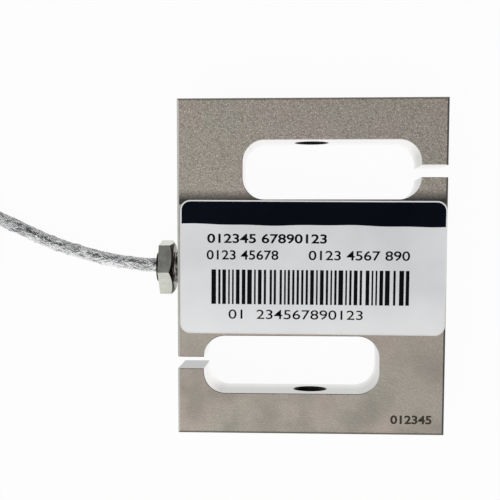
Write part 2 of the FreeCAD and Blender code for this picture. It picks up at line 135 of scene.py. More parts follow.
def dress(tree, shader, colour, roughness, height, depth, others=None):
    """Gives the shader a colour, a roughness, a relief so many millimetres deep, and others."""
    relief = add(tree, "Bump", {"Height": height, "Distance": depth * MM})
    connect(tree, shader, {"Base Color": colour, "Roughness": roughness, "Normal": relief,
                           **(others or {})})


def facing(tree):
    """The three parts of the surface's normal."""
    return add(tree, "SeparateXYZ", [add(tree, "NewGeometry").outputs["Normal"]]).outputs


def beyond(tree, value, limit):
    """Where a value lies further from zero than a limit, to either side."""
    size = add(tree, "Math", [value], operation="ABSOLUTE")
    return add(tree, "Math", [size, limit], operation="GREATER_THAN")


# Materials

METAL = {"Metallic": 1.0}
# Sizes of patterns, in millimetres. Grit, brushed and drawn lines, orange peel and gaps in the
# print are finer on the real cell, and are drawn as coarse as they need to be to show
GRIT = 0.38
FINE_GRIT = 0.26
BATH_CLOUD = 8.0
SMUDGE = 7.0
TOOL_LINE = 0.25
TURNED_LINE = 0.2
PLATING_CLOUD = 1.4
THREAD_SHADE_CLOUD = 0.7
BRUSHED_LINE = 0.12
SHEET_STAIN = 7.0
FILM_CLOUD = 12.0
ORANGE_PEEL = 1.1
INK_GAP = 0.12
PLASTIC_CLOUD = 3.2
PLASTIC_SKIN = 0.24
TARNISH = 0.5
BRAID_SCATTER = 0.9
STREAKS_A_MM = 0.45
GAUGE_LINE = 0.35
GAUGE_CLOUD = 1.5
BOARD_WEAVE = 0.4
BOARD_CLOUD = 3.0
# The outer faces lie beyond these; the cut walls of the slots lie inside, and those of the
# slits, which face along Y, run out to the edge
CUT_WITHIN_X = 24.95
CUT_WITHIN_Y = 31.3
TOP_FACE = 12.65
SLITS_BEYOND = 18.9
# A cut wall's painted bounce light from the table fades to grey up to this height
WALL_BOUNCE_HEIGHT = 7.0
# The tapped holes lie within this radius, and beyond this distance along Y from the middle
HOLE_REACH = 3.35
HOLES_BEYOND = 23.5
# The gland's collar lies beyond its head's face, at this X
COLLAR_BEYOND = -29.37
# Along Y: where each change of the surface, or of the label film's painted reflection, starts, and
# where it is complete
COARSER = (-8.0, 18.0)
HANDLED = (-12.0, -20.0)
FILM_PAINTED_PALING = (-4.0, -11.0)
# The dirt and painted shadow by the label start under its upper edge, and fade between the other two
DIRT_AND_SHADOW_BEYOND = 12.0
DIRT_AND_SHADOW_FADES = (12.8, 14.8)


def cut_walls(tree, axes, normal):
    """Where the slots and slits were cut after the blasting, and the colour of their walls, which is
    painted light: nearly white on those that face the light, a painted bounce from the table
    fading to grey away from it on the others, and painted shade in the slits."""
    upright = add(tree, "Math", [normal["Z"], 0.0, 0.8], operation="COMPARE")
    within_x = add(tree, "Math", [axes["X"], 0.0, CUT_WITHIN_X * MM], operation="COMPARE")
    within_y = add(tree, "Math", [axes["Y"], 0.0, CUT_WITHIN_Y * MM], operation="COMPARE")
    in_slot = add(tree, "Math", [within_x, beyond(tree, normal["Y"], 0.95)], operation="MAXIMUM")
    inside = add(tree, "Math", [in_slot, within_y], operation="MULTIPLY")
    cut = add(tree, "Math", [upright, inside], operation="MULTIPLY")

    # Painted light: a painted bounce from the table, paler near the floor, and paler and greyer copies
    # of the wall by the way it faces
    painted_bounce_fade = add(tree, "MapRange", [axes["Z"], 0.0, WALL_BOUNCE_HEIGHT * MM])
    painted_lit = add(tree, "Math", [add(tree, "MapRange", [normal["Y"], -0.3, -0.8]),
                             add(tree, "MapRange", [normal["X"], 0.3, 0.8])], operation="MAXIMUM")
    painted_dim_wall = add(tree, "MixRGB", [painted_bounce_fade, "dededc", "acaba8"])
    painted_lit_wall = add(tree, "MixRGB", [painted_bounce_fade, "ffffff", "eeebe7"])
    painted_wall_light = add(tree, "MixRGB", [painted_lit, painted_dim_wall, painted_lit_wall])
    # Painted shade on the slits' walls that face +Y
    facing_back = add(tree, "Math", [normal["Y"], 0.95], operation="GREATER_THAN")
    painted_slit_shade = add(tree, "Math", [beyond(tree, axes["X"], SLITS_BEYOND * MM), facing_back],
                 operation="MULTIPLY")
    return cut, add(tree, "MixRGB", [painted_slit_shade, painted_wall_light, "757577"])


def tapped_holes(tree, where, axes):
    """Where the bores of the two arms are, close to the axis and far out along it; there the steel
    gets painted shade.
    """
    off_axis = add(tree, "Mapping", {"Vector": where, "Location": (0, 0, -AXIS_HEIGHT * MM),
                                     "Scale": (1, 0, 1)})
    reach = add(tree, "VectorMath", [off_axis], operation="LENGTH").outputs["Value"]
    near_axis = add(tree, "Math", [reach, HOLE_REACH * MM], operation="LESS_THAN")
    far_out = beyond(tree, axes["Y"], HOLES_BEYOND * MM)
    return add(tree, "Math", [near_axis, far_out], operation="MULTIPLY")


def bevels(tree, axes, normal):
    """Painted shade and highlight on the outer edges' bevels: how dark they are towards -Y, +Y and +X,
    and how pale towards -X.
    """
    sloping = add(tree, "Math", [normal["Z"], 0.7, 0.15], operation="COMPARE")
    away = 0.0
    for axis, side, most in (("Y", -1, 0.7), ("Y", 1, 0.45), ("X", 1, 0.8)):
        leaning = add(tree, "MapRange", [normal[axis], side * 0.3, side * 0.6, 0.0, most])
        away = add(tree, "Math", [leaning, away], operation="MAXIMUM")
    on_end = beyond(tree, axes["Y"], CUT_WITHIN_Y * MM)
    on_right = add(tree, "Math", [axes["X"], CUT_WITHIN_X * MM], operation="GREATER_THAN")
    on_rim = add(tree, "Math", [on_end, on_right], operation="MAXIMUM")
    shaded = add(tree, "Math", [away, sloping], operation="MULTIPLY")
    towards_left = add(tree, "MapRange", [normal["X"], -0.3, -0.6, 0.0, 0.7])
    return (add(tree, "Math", [shaded, on_rim], operation="MULTIPLY"),
            add(tree, "Math", [towards_left, sloping], operation="MULTIPLY"))


def blasted_colour(tree, where, axes, grit, fine):
    """The blasted faces: warm grey in faint green and pink clouds from the bath, with dark pits
    and pale grains, smudged by handling, and darkened along the label's upper edge, partly dirty and
    partly in painted shadow."""
    cloud = add(tree, "TexNoise", {"Vector": where, "Scale": 1 / (BATH_CLOUD * MM), "Detail": 3.0})
    tint = add(tree, "MixRGB", [add(tree, "MapRange", [cloud, 0.35, 0.65]), "b1aca0", "b8aba2"])
    coarse = add(tree, "MapRange", [axes["Y"], COARSER[0] * MM, COARSER[1] * MM, 0.35, 1.0])
    pits = add(tree, "MapRange", [grit, 0.54, 0.36, 0.0, 0.75])
    specks = add(tree, "MapRange", [fine, 0.54, 0.72, 0.0, 0.85])
    for grains, shade in ((pits, "857d72"), (specks, "e0d9d0")):
        shown = add(tree, "Math", [grains, coarse], operation="MULTIPLY")
        tint = add(tree, "MixRGB", [shown, tint, shade])
    handling = add(tree, "TexNoise", {"Vector": where, "Scale": 1 / (SMUDGE * MM), "Detail": 3.0})
    touched = add(tree, "MapRange", [handling, 0.42, 0.62, 0.0, 0.5])
    on_arm = add(tree, "MapRange", [axes["Y"], HANDLED[0] * MM, HANDLED[1] * MM])
    smudge = add(tree, "Math", [touched, on_arm], operation="MULTIPLY")
    handled = add(tree, "MixRGB", [smudge, tint, "8d8a81"])
    # Dirt and painted shadow on the top face, just above the label's upper edge
    on_top = add(tree, "MapRange", [axes["Z"], (TOP_FACE - 0.1) * MM, TOP_FACE * MM])
    fade_share = add(tree, "MapRange", [axes["Y"], DIRT_AND_SHADOW_FADES[0] * MM, DIRT_AND_SHADOW_FADES[1] * MM, 0.92, 0.0])
    above = add(tree, "Math", [axes["Y"], DIRT_AND_SHADOW_BEYOND * MM], operation="GREATER_THAN")
    dirt_and_shadow = add(tree, "Math", [add(tree, "Math", [on_top, fade_share], operation="MULTIPLY"), above],
               operation="MULTIPLY")
    return add(tree, "MixRGB", [dirt_and_shadow, handled, "343230"])


def blasted_nickel_steel():
    """Alloy steel, bead-blasted and nickel-plated: matt warm grey, gritty with pale grains and
    coarser on the upper arm. The slots' walls were cut afterwards and are smooth, in painted light
    and shade; the tapped holes are in painted shade, and the bevels in painted shade and highlight."""
    material, tree, shader, where = new_material("blasted nickel-plated steel")
    axes = add(tree, "SeparateXYZ", [where]).outputs
    normal = facing(tree)
    grit = add(tree, "TexNoise", {"Vector": where, "Scale": 1 / (GRIT * MM), "Detail": 3.0,
                                  "Roughness": 0.7})
    fine = add(tree, "TexNoise", {"Vector": where, "Scale": 1 / (FINE_GRIT * MM), "Detail": 1.0})
    cut, wall = cut_walls(tree, axes, normal)
    # Painted shade on the bevels towards -Y, +Y and +X, and a painted highlight on those towards -X
    dark, bright = bevels(tree, axes, normal)
    holes = tapped_holes(tree, where, axes)
    colour = blasted_colour(tree, where, axes, grit, fine)
    # Layers over the blasted colour: painted shade and highlight on the bevels, painted light on the
    # cut walls, and painted shade in the tapped holes
    for mask, shade in ((dark, "3c3b3a"), (cut, wall), (bright, "cdd2ce"), (holes, "161412")):
        colour = add(tree, "MixRGB", [mask, colour, shade])

    drawn = add(tree, "Mapping", {"Vector": where, "Scale": (1, 1, 0.12)})
    tool_lines = add(tree, "TexNoise", {"Vector": drawn, "Scale": 1 / (TOOL_LINE * MM)})
    blasted = add(tree, "Math", [grit, fine], operation="ADD")
    milled = add(tree, "Math", [tool_lines, 0.3], operation="MULTIPLY")
    height = add(tree, "MapRange", [cut, 0.0, 1.0, blasted, milled])
    rough = add(tree, "MapRange", [grit, 0.3, 0.7, 0.44, 0.58])
    smoothed = add(tree, "MapRange", [cut, 0.0, 1.0, rough, 0.15])
    dress(tree, shader, colour, smoothed, height, 0.03, METAL)
    return material


def turned_nickel(name, low, high):
    """Turned steel with bright nickel: even and shiny, with fine lines round the axis. The
    collar that stands out of the gland's head is black, and faces turned towards +X, such as the
    head's chamfer towards the block, are in painted shade."""
    material, tree, shader, where = new_material(name)
    cloud = add(tree, "TexNoise", {"Vector": where, "Scale": 1 / (PLATING_CLOUD * MM), "Detail": 3.0})
    colour = add(tree, "MixRGB", [add(tree, "MapRange", [cloud, 0.35, 0.7]), low, high])
    along = add(tree, "SeparateXYZ", [where]).outputs["X"]
    collar = add(tree, "Math", [along, COLLAR_BEYOND * MM], operation="LESS_THAN")
    normal = facing(tree)
    # Painted shade on faces turned towards +X, together with the black collar
    shaded = add(tree, "MapRange", [normal["X"], 0.3, 0.5, 0.0, 0.85])
    dark = add(tree, "Math", [collar, shaded], operation="MAXIMUM")
    squeezed = add(tree, "Mapping", {"Vector": where, "Scale": (1, 0.15, 0.15)})
    lines = add(tree, "TexNoise", {"Vector": squeezed, "Scale": 1 / (TURNED_LINE * MM)})
    rough = add(tree, "MapRange", [cloud, 0.3, 0.7, 0.16, 0.28])
    dress(tree, shader, add(tree, "MixRGB", [dark, colour, "1b1b1b"]), rough, lines, 0.012, METAL)
    return material


def cut_thread_steel():
    """Steel thread cut by tapping, painted dark for the shade inside the holes, with a dull sheen on
    its crests.
    """
    material, tree, shader, where = new_material("tapped steel in painted shade")
    shade_cloud = add(tree, "TexNoise", {"Vector": where, "Scale": 1 / (THREAD_SHADE_CLOUD * MM), "Detail": 3.0})
    colour = add(tree, "MixRGB", [shade_cloud, "0d0b09", "1c1916"])
    rough = add(tree, "MapRange", [shade_cloud, 0.3, 0.7, 0.4, 0.6])
    dress(tree, shader, colour, rough, shade_cloud, 0.02, {"Specular IOR Level": 0.2})
    return material


def satin_sheet_steel():
    """Rolled stainless sheet, lightly brushed along X: fine streaks and a soft shine."""
    material, tree, shader, where = new_material("satin stainless sheet")
    along = add(tree, "Mapping", {"Vector": where, "Scale": (0.03, 1, 1)})
    brushed = add(tree, "TexNoise", {"Vector": along, "Scale": 1 / (BRUSHED_LINE * MM), "Detail": 3.0})
    cloud = add(tree, "TexNoise", {"Vector": where, "Scale": 1 / (SHEET_STAIN * MM)})
    streaks = add(tree, "MapRange", [brushed, 0.3, 0.7])
    streaked = add(tree, "MixRGB", [streaks, "a8a69f", "bdbbb4"])
    stained = add(tree, "MixRGB", [add(tree, "MapRange", [cloud, 0.45, 0.75, 0.0, 0.5]),
                                   streaked, "9f988e"])
    rough = add(tree, "MapRange", [brushed, 0.3, 0.7, 0.3, 0.42])
    dress(tree, shader, stained, rough, brushed, 0.01, METAL)
    return material


def printed_film(name, low, high, metallic, roughness, shine, fade_share=0.0):
    """Printed polyester film: an even colour with a faint cloud and the press's orange peel.
    It gets paler towards the label's lower edge, a painted reflection, by the share that fade_share
    gives."""
    material, tree, shader, where = new_material(name)
    cloud = add(tree, "TexNoise", {"Vector": where, "Scale": 1 / (FILM_CLOUD * MM)})
    peel = add(tree, "TexNoise", {"Vector": where, "Scale": 1 / (ORANGE_PEEL * MM)})
    even = add(tree, "MixRGB", [add(tree, "MapRange", [cloud, 0.35, 0.65]), low, high])
    across = add(tree, "SeparateXYZ", [where]).outputs["Y"]
    # Painted reflection: paler towards the label's lower edge
    paler = add(tree, "MapRange", [across, FILM_PAINTED_PALING[0] * MM, FILM_PAINTED_PALING[1] * MM, 0.0, fade_share])
    dress(tree, shader, add(tree, "MixRGB", [paler, even, "ffffff"]), roughness, peel, 0.004,
          {"Metallic": metallic, "Specular IOR Level": shine})
    return material


def black_print(name, low, high, roughness):
    """Thermal-transfer ink or a laser's dark oxide, with tiny gaps where the mark is thin."""
    material, tree, shader, where = new_material(name)
    gaps = add(tree, "TexNoise", {"Vector": where, "Scale": 1 / (INK_GAP * MM)})
    colour = add(tree, "MixRGB", [add(tree, "MapRange", [gaps, 0.42, 0.72]), low, high])
    dress(tree, shader, colour, roughness, gaps, 0.003, {"Specular IOR Level": 0.04})
    return material


def soft_plastic(name, low, high, roughness):
    """Extruded or moulded plastic or rubber: two near colours in a cloud, and a fine skin."""
    material, tree, shader, where = new_material(name)
    cloud = add(tree, "TexNoise", {"Vector": where, "Scale": 1 / (PLASTIC_CLOUD * MM)})
    skin = add(tree, "TexNoise", {"Vector": where, "Scale": 1 / (PLASTIC_SKIN * MM), "Detail": 3.0})
    colour = add(tree, "MixRGB", [add(tree, "MapRange", [cloud, 0.3, 0.7]), low, high])
    rough = add(tree, "MapRange", [skin, 0.3, 0.7, roughness - 0.06, roughness + 0.06])
    dress(tree, shader, colour, rough, skin, 0.01)
    return material


def drawn_wire(name, low, high, roughness):
    """Drawn wire, tinned or enamelled: shiny, with faint tarnish."""
    material, tree, shader, where = new_material(name)
    tarnish = add(tree, "TexNoise", {"Vector": where, "Scale": 1 / (TARNISH * MM), "Detail": 3.0})
    colour = add(tree, "MixRGB", [add(tree, "MapRange", [tarnish, 0.35, 0.7]), low, high])
    rough = add(tree, "MapRange", [tarnish, 0.3, 0.7, roughness, roughness + 0.12])
    dress(tree, shader, colour, rough, tarnish, 0.004, METAL)
    return material


def braid_wire():
    """Tinned copper braid wires: painted glints and grey, in streaks a few millimetres long.
    The braid has a painted highlight along both its sides and painted shade along the middle of
    its upper half. The mesh's UV is millimetres along a wire, and how far towards +Y of the
    cable's middle the wire lies."""
    material, tree, shader, _ = new_material("tinned braid wire")
    uv = add(tree, "UVMap")
    streaks = add(tree, "TexNoise", {"Vector": uv, "Scale": STREAKS_A_MM, "Detail": 2.0})
    side = add(tree, "SeparateXYZ", [uv]).outputs["Y"]
    # Painted highlight along both rims and painted shade along the middle of the upper half; less
    # metal on the rims so that they read pale
    rim = add(tree, "MapRange", [add(tree, "Math", [side], operation="ABSOLUTE"), 0.6, 0.9])
    dull = add(tree, "Math", [add(tree, "MapRange", [side, -0.3, 0.2]),
                              add(tree, "MapRange", [side, 0.75, 0.45])], operation="MULTIPLY")
    grey = add(tree, "MixRGB", [dull, "b0b2b5", "5c5e62"])
    lift = add(tree, "MapRange", [dull, 0.0, 1.0, 0.03, -0.03])
    painted_light_shift = add(tree, "MapRange", [rim, 0.0, 1.0, lift, 0.1])
    painted_glint = add(tree, "Math", [streaks, painted_light_shift], operation="ADD")
    bright = add(tree, "MapRange", [painted_glint, 0.42, 0.53])
    connect(tree, shader, {"Base Color": add(tree, "MixRGB", [bright, grey, "ffffff"]),
                           "Metallic": add(tree, "MapRange", [rim, 0.0, 1.0, 0.6, 0.1]),
                           "Roughness": add(tree, "MapRange", [streaks, 0.3, 0.7, 0.42, 0.25])})
    return material


def woven_braid():
    """The braid as a whole, for the coil and under the loose wires: carriers of fine wires
    that pass over and under each other. The mesh's UV is millimetres along and turns round."""
    material, tree, shader, where = new_material("woven tinned braid")
    uv = add(tree, "SeparateXYZ", [add(tree, "UVMap")]).outputs
    along = add(tree, "Math", [uv["X"], CARRIERS / BRAID_LAY], operation="MULTIPLY")
    around = add(tree, "Math", [uv["Y"], CARRIERS], operation="MULTIPLY")
    waves = []
    wires = []
    for direction in ("ADD", "SUBTRACT"):
        turns = add(tree, "Math", [along, around], operation=direction)
        half_turns = add(tree, "Math", [turns, math.pi], operation="MULTIPLY")
        waves.append(add(tree, "Math", [half_turns], operation="SINE"))
        fine = add(tree, "Math", [half_turns, WIRES], operation="MULTIPLY")
        wires.append(add(tree, "Math", [add(tree, "Math", [fine], operation="SINE")],
                         operation="ABSOLUTE"))
    weave = add(tree, "Math", waves, operation="MULTIPLY")
    over = add(tree, "Math", [weave, 0.0], operation="GREATER_THAN")
    wire = add(tree, "MixRGB", [over, wires[1], wires[0]])
    middle = add(tree, "Math", [weave], operation="ABSOLUTE")
    crown = add(tree, "MapRange", [middle, 0.0, 1.0, 0.5, 1.0])
    height = add(tree, "Math", [wire, crown], operation="MULTIPLY")
    # Painted highlight on the wires' crowns, painted glints scattered over them, and painted shade in
    # the gaps between; less metal where the braid turns away from the top, for a paler painted side
    scatter = add(tree, "TexNoise", {"Vector": where, "Scale": 1 / (BRAID_SCATTER * MM)})
    painted_glint = add(tree, "MapRange", [scatter, 0.36, 0.56, 0.3, 1.0])
    normal = facing(tree)
    rim = add(tree, "MapRange", [normal["Z"], 0.6, 0.3])
    painted_lit = add(tree, "Math", [add(tree, "MapRange", [height, 0.15, 0.75]), painted_glint],
              operation="MULTIPLY")
    dress(tree, shader, add(tree, "MixRGB", [painted_lit, "8a8c8f", "ffffff"]), 0.35, height, 0.09,
          {"Metallic": add(tree, "MapRange", [rim, 0.0, 1.0, 0.45, 0.15])})
    return material


def strain_gauge_foil():
    """Constantan foil grid under amber polyimide: fine lines along the gauge."""
    material, tree, shader, where = new_material("strain gauge foil")
    axes = add(tree, "SeparateXYZ", [where]).outputs
    rows = add(tree, "Math", [axes["Z"], math.tau / (GAUGE_LINE * MM)], operation="MULTIPLY")
    line = add(tree, "MapRange", [add(tree, "Math", [rows], operation="SINE"), -0.2, 0.2])
    amber = add(tree, "TexNoise", {"Vector": where, "Scale": 1 / (GAUGE_CLOUD * MM)})
    grid = add(tree, "MixRGB", [line, "b0782c", "7d6a55"])
    colour = add(tree, "MixRGB", [amber, grid, "c08a3a"])
    dress(tree, shader, colour, 0.35, line, 0.01, {"Coat Weight": 0.5})
    return material


def solder_masked_board():
    """Glass epoxy board under green solder mask, its weave just felt through the mask."""
    material, tree, shader, where = new_material("solder-masked board")
    weave = add(tree, "TexNoise", {"Vector": where, "Scale": 1 / (BOARD_WEAVE * MM)})
    cloud = add(tree, "TexNoise", {"Vector": where, "Scale": 1 / (BOARD_CLOUD * MM)})
    colour = add(tree, "MixRGB", [cloud, "14502a", "1f6a38"])
    dress(tree, shader, colour, 0.35, weave, 0.008, {"Coat Weight": 0.3})
    return material


# Meshes

def new_piece(name, bm, material, smooth=True):
    """Puts a mesh in the scene as a piece that rides on the cell."""
    bmesh.ops.recalc_face_normals(bm, faces=bm.faces)
    mesh = bpy.data.meshes.new(name)
    bm.to_mesh(mesh)
    bm.free()
    for polygon in mesh.polygons:
        polygon.use_smooth = smooth
    mesh.materials.append(material)
    piece = put(name, mesh)
    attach(piece, "root")
    return piece


def transport(points):
    """Two normals at each point, which follow the line without twisting."""
    tangents = []
    for number in range(len(points)):
        before = points[max(number - 1, 0)]
        after = points[min(number + 1, len(points) - 1)]
        tangents.append((after - before).normalized())
    normal = tangents[0].orthogonal().normalized()
    frames = []
    for tangent in tangents:
        normal = (normal - tangent * normal.dot(tangent)).normalized()
        frames.append((normal, tangent.cross(normal)))
    return frames


def outward(normal, side, turn):
    """The direction at an angle round a line, from its two normals there."""
    return normal * math.cos(turn) + side * math.sin(turn)


def distances(points):
    """The length along the line up to each point."""
    run = [0.0]
    for before, after in zip(points, points[1:]):
        run.append(run[-1] + (after - before).length)
    return run


def stretch(line, start, end):
    """The points of a line between two distances along it."""
    return [point for point, run in zip(line, distances(line)) if start <= run <= end]


def join_rings(bm, rings, closed=False):
    """Faces between neighbouring rings, each one a closed loop of as many points."""
    faces = []
    for ring, beside in zip(rings, rings[1:] + (rings[:1] if closed else [])):
        for number in range(len(ring)):
            after = (number + 1) % len(ring)
            faces.append(bm.faces.new((ring[number], ring[after], beside[after], beside[number])))
    return faces


def sweep(bm, points, radius, sides, uv=None, start=0.0, levels=None):
    """Adds a round tube along points to a mesh; radius is a number, or a function of the
    distance along the line. uv gets millimetres along and turns round, or, on a tube without
    caps, the level that goes with each point."""
    run = distances(points)
    rings = []
    for point, (normal, side), length in zip(points, transport(points), run):
        reach = radius(length) if callable(radius) else radius
        ring = []
        for number in range(sides):
            out = outward(normal, side, math.tau * number / sides)
            ring.append(bm.verts.new(point + out * reach))
        rings.append(ring)
    faces = join_rings(bm, rings)
    if not levels:
        bm.faces.new(rings[0])
        bm.faces.new(rings[-1])
    if uv:
        for number, face in enumerate(faces):
            section, side = divmod(number, sides)
            low, high = start + run[section] / MM, start + run[section + 1] / MM
            corners = ((low, side), (low, side + 1), (high, side + 1), (high, side))
            for loop, (along, around) in zip(face.loops, corners):
                level = levels[section + (along == high)] if levels else around / sides
                loop[uv].uv = (along, level)


def twist(bm, line, strands, reach, wire, lay):
    """Adds wires twisted round a line to a mesh. The twist's radius, the wires' thickness and
    the length of a turn are in millimetres."""
    frames = transport(line)
    run = distances(line)
    for strand in range(strands):
        points = []
        for point, (normal, side), along in zip(line, frames, run):
            turn = math.tau * (strand / strands + along / MM / lay)
            points.append(point + outward(normal, side, turn) * reach * MM)
        sweep(bm, points, wire / 2 * MM, sides=6)


def smooth_line(name, points, resolution):
    """Points in metres along a NURBS spline whose control points are given in millimetres."""
    curve = bpy.data.curves.new(name, "CURVE")
    curve.dimensions = "3D"
    curve.resolution_u = resolution
    spline = curve.splines.new("NURBS")
    spline.points.add(len(points) - 1)
    for target, point in zip(spline.points, points):
        target.co = (*(point * MM), 1.0)
    spline.order_u = 3
    spline.use_endpoint_u = True
    holder = bpy.data.objects.new(name, curve)
    mesh = bpy.data.meshes.new_from_object(holder)
    line = [vertex.co.copy() for vertex in mesh.vertices]
    bpy.data.objects.remove(holder)
    bpy.data.meshes.remove(mesh)
    return line


def rounded_rectangle(west, south, east, north, radius, steps):
    """The outline's points, anticlockwise from the lower right corner."""
    outline = []
    corners = ((east - radius, south + radius, -90), (east - radius, north - radius, 0),
               (west + radius, north - radius, 90), (west + radius, south + radius, 180))
    for x, y, start in corners:
        for step in range(steps + 1):
            turn = math.radians(start + 90 * step / steps)
            outline.append((x + radius * math.cos(turn), y + radius * math.sin(turn)))
    return outline


def plate(bm, outline, low, high):
    """Adds a thin closed plate with a given outline to a mesh; all in millimetres."""
    rings = [[bm.verts.new((x * MM, y * MM, z * MM)) for x, y in outline] for z in (low, high)]
    join_rings(bm, rings)
    bm.faces.new(rings[0])
    bm.faces.new(rings[1])


# Cable: the route's points are the source's own, and the coil's turns are worked out

# The cable's thickness, and its length in metres
CABLE = 2.8
CABLE_LENGTH = 3.0
BRAID_RADIUS = 1.17
CARRIERS = 8
WIRES = 4
BRAID_LAY = 18.0
WIRE = 0.19
# The loose braid is drawn from inside the gland to just beyond the camera's view
BRAID_FROM = 9.0
BRAID_TO = 78.0
# The share of a carrier's width that its wires fill, how far they lie in the braid, and how
# far they rise and sink where they cross
CARRIER_FILL = 0.92
BRAID_BED = 0.02
WEAVE_RISE = 0.06
# Wires stray aside in waves, and slack ones also stand off, except on the underside
STRAY = 0.06
STRAY_WAVE = 2.1
SLACKS = (0.01, 0.03, 0.06, 0.11, 0.22)
SLACK_WAVES = (0.9, 2.0)
SLACK_ASIDE = 1.6
SLACK_DOWN_TO = 0.75
COIL_CENTRE = Vector((-94.2, -6.1, 0.0))
COIL_OUTER = 27.3
COIL_COLUMNS = 6
COIL_LAYERS = 4
COIL_FLOOR = 0.4
COIL_START = 70.0
# The angle of a turn with its crossing to the next place, and the crossing's share of it
TURN = 363.8
CROSSING = 90.0
POINTS_A_TURN = 24
# Steps between two points of a route, on the whole cable, the loose braid and the leads
CABLE_STEPS = 4
BRAID_STEPS = 36
LEAD_STEPS = 16

RUN_POINTS = [
    Vector(point) for point in ((-19.6, 0.0, AXIS_HEIGHT), (-33.8, 0.0, AXIS_HEIGHT),
                                (-50.5, 3.7, 1.4), (-62.2, 9.3, 1.4), (-73.4, 13.9, 1.4))
]
# The tail's angle round the coil, how far out of its wall, and its height
TAIL = [(82, -0.6, 10.2), (106, 2.6, 9.6), (134, 4.0, 6.6), (162, 4.4, 3.0), (188, 4.6, 1.8),
        (210, 5.0, 1.8)]


def round_coil(angle, radius, height):
    """A point at an angle round the coil."""
    turn = math.radians(angle)
    return COIL_CENTRE + Vector((math.cos(turn) * radius, math.sin(turn) * radius, height))


def turn_place(number):
    """A turn's radius and height: columns inwards in one layer, outwards in the next."""
    layer, column = divmod(min(number, COIL_COLUMNS * COIL_LAYERS - 1), COIL_COLUMNS)
    if layer % 2:
        column = COIL_COLUMNS - 1 - column
    return COIL_OUTER - (column + 0.5) * CABLE, COIL_FLOOR + (layer + 0.5) * CABLE


def coil_points():
    """Each turn keeps its radius and height, and crosses to the next one's near its end."""
    points = []
    for number in range(COIL_COLUMNS * COIL_LAYERS * POINTS_A_TURN + 1):
        angle = number * 360 / POINTS_A_TURN
        turn = int(angle // TURN)
        share = max(0.0, (angle - turn * TURN - TURN + CROSSING) / CROSSING)
        ease = share * share * (3 - 2 * share)
        radius, height = turn_place(turn)
        next_radius, next_height = turn_place(turn + 1)
        points.append(round_coil(COIL_START + angle, radius + (next_radius - radius) * ease,
                                 height + (next_height - height) * ease))
    return points


def tail_points():
    """The cable's last stretch, down over the coil's wall to the floor."""
    return [round_coil(angle, COIL_OUTER + out, height) for angle, out, height in TAIL]


def make_cable(line):
    """The whole cable, gland to sleeve, as one braided tube."""
    bm = bmesh.new()
    sweep(bm, line, BRAID_RADIUS * MM, sides=14, uv=bm.loops.layers.uv.new("UVMap"))
    cable = new_piece("cable", bm, woven_braid())
    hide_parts("cable_run", "cable_coil", "cable_tail")
    return cable


def make_braid(line):
    """The braid's own wires on the stretch by the gland, woven over and under, some slack.
    They are drawn a little thicker than the real 0.1 mm, so that they show."""
    chance = random.Random(11)
    part = stretch(line, BRAID_FROM * MM, BRAID_TO * MM)
    frames = transport(part)
    run = [length / MM for length in distances(part)]
    bm = bmesh.new()
    uv = bm.loops.layers.uv.new("UVMap")
    for way in (1, -1):
        for number in range(CARRIERS * WIRES):
            carrier, wire = divmod(number, WIRES)
            place = carrier + CARRIER_FILL * (wire / WIRES - 0.4)
            phase = chance.uniform(0, math.tau)
            slack = chance.choice(SLACKS)
            wave = chance.uniform(*SLACK_WAVES)
            points = []
            levels = []
            for point, (normal, side), along in zip(part, frames, run):
                wander = STRAY * math.sin(along / STRAY_WAVE + phase * 3)
                wander += SLACK_ASIDE * slack * math.sin(along / wave + phase)
                angle = math.tau * (way * along / BRAID_LAY + (place + wander) / CARRIERS)
                crossed = 2 * CARRIERS * along / BRAID_LAY + way * place
                over = way * math.cos(math.pi * crossed) * (1 if carrier % 2 else -1)
                out = outward(normal, side, angle)
                free = max(0.0, min(1.0, out.z + SLACK_DOWN_TO))
                lift = slack * free * max(0.0, math.sin(along / wave + phase * 2))
                radius = BRAID_RADIUS - BRAID_BED + WEAVE_RISE * over + lift
                points.append(point + out * radius * MM)
                levels.append(out.y)
            # Wires of one carrier share their streaks of painted glints, which differ from carrier to
            # carrier
            start = (carrier + 50 * way) * 100.0 + wire * 0.6
            sweep(bm, points, WIRE / 2 * MM, sides=4, uv=uv, start=start, levels=levels)
    return new_piece("braid_wires", bm, braid_wire())


# Sleeve, leads and drain wire at the cable's far end

SLEEVE_LENGTH = 7.5
SLEEVE_OVERHANG = 2.0
SLEEVE_NECK = 2.6
SLEEVE_MOUTH = 1.28
SLEEVE_SWELL = 0.47
SLEEVE_ROUNDING = 0.5
SLEEVE_TAPER = 0.32
LEAD = 0.9
LEAD_PITCH = 1.05
LEAD_STRAIGHT = 4.0
LEAD_DROP_REACH = 11.0
STRIPPED = 5.0
RIM_DRAWN_IN = 0.12
RIM_LENGTH = 0.3
DRAIN = 0.5
DRAIN_REACH = 20.5
# The drain wire comes down this much further out than the leads
DRAIN_LATER = 1.2
# Twisted strands: how many, the twist's radius, their thickness, and the length of a turn
TIP_STRANDS = (6, 0.17, 0.16, 4.5)
TIP_CORE = 0.11
TIP_HIDDEN = 0.6
DRAIN_STRANDS = (6, 0.16, 0.17, 5.0)
# For each lead: its side and height in the bundle, and how far aside and along the lead passes
# its landing, its bend and its tip
FAN = {
    "red": (1, 1, (3.1, (6.8, 18.0), (9.4, 25.2))),
    "black": (1, -1, (1.1, (2.4, 20.5), (5.2, 28.5))),
    "green": (-1, -1, (-1.0, (-2.2, 19.5), (-0.8, 27.0))),
    "white": (-1, 1, (-3.0, (-6.6, 17.0), (-6.2, 23.5))),
}
CORE_COLOURS = {"red": ("8e1412", "a81e1a"), "black": ("101011", "1c1c1d"),
                "green": ("0f5a26", "197034"), "white": ("d8d8d2", "e6e6e0")}


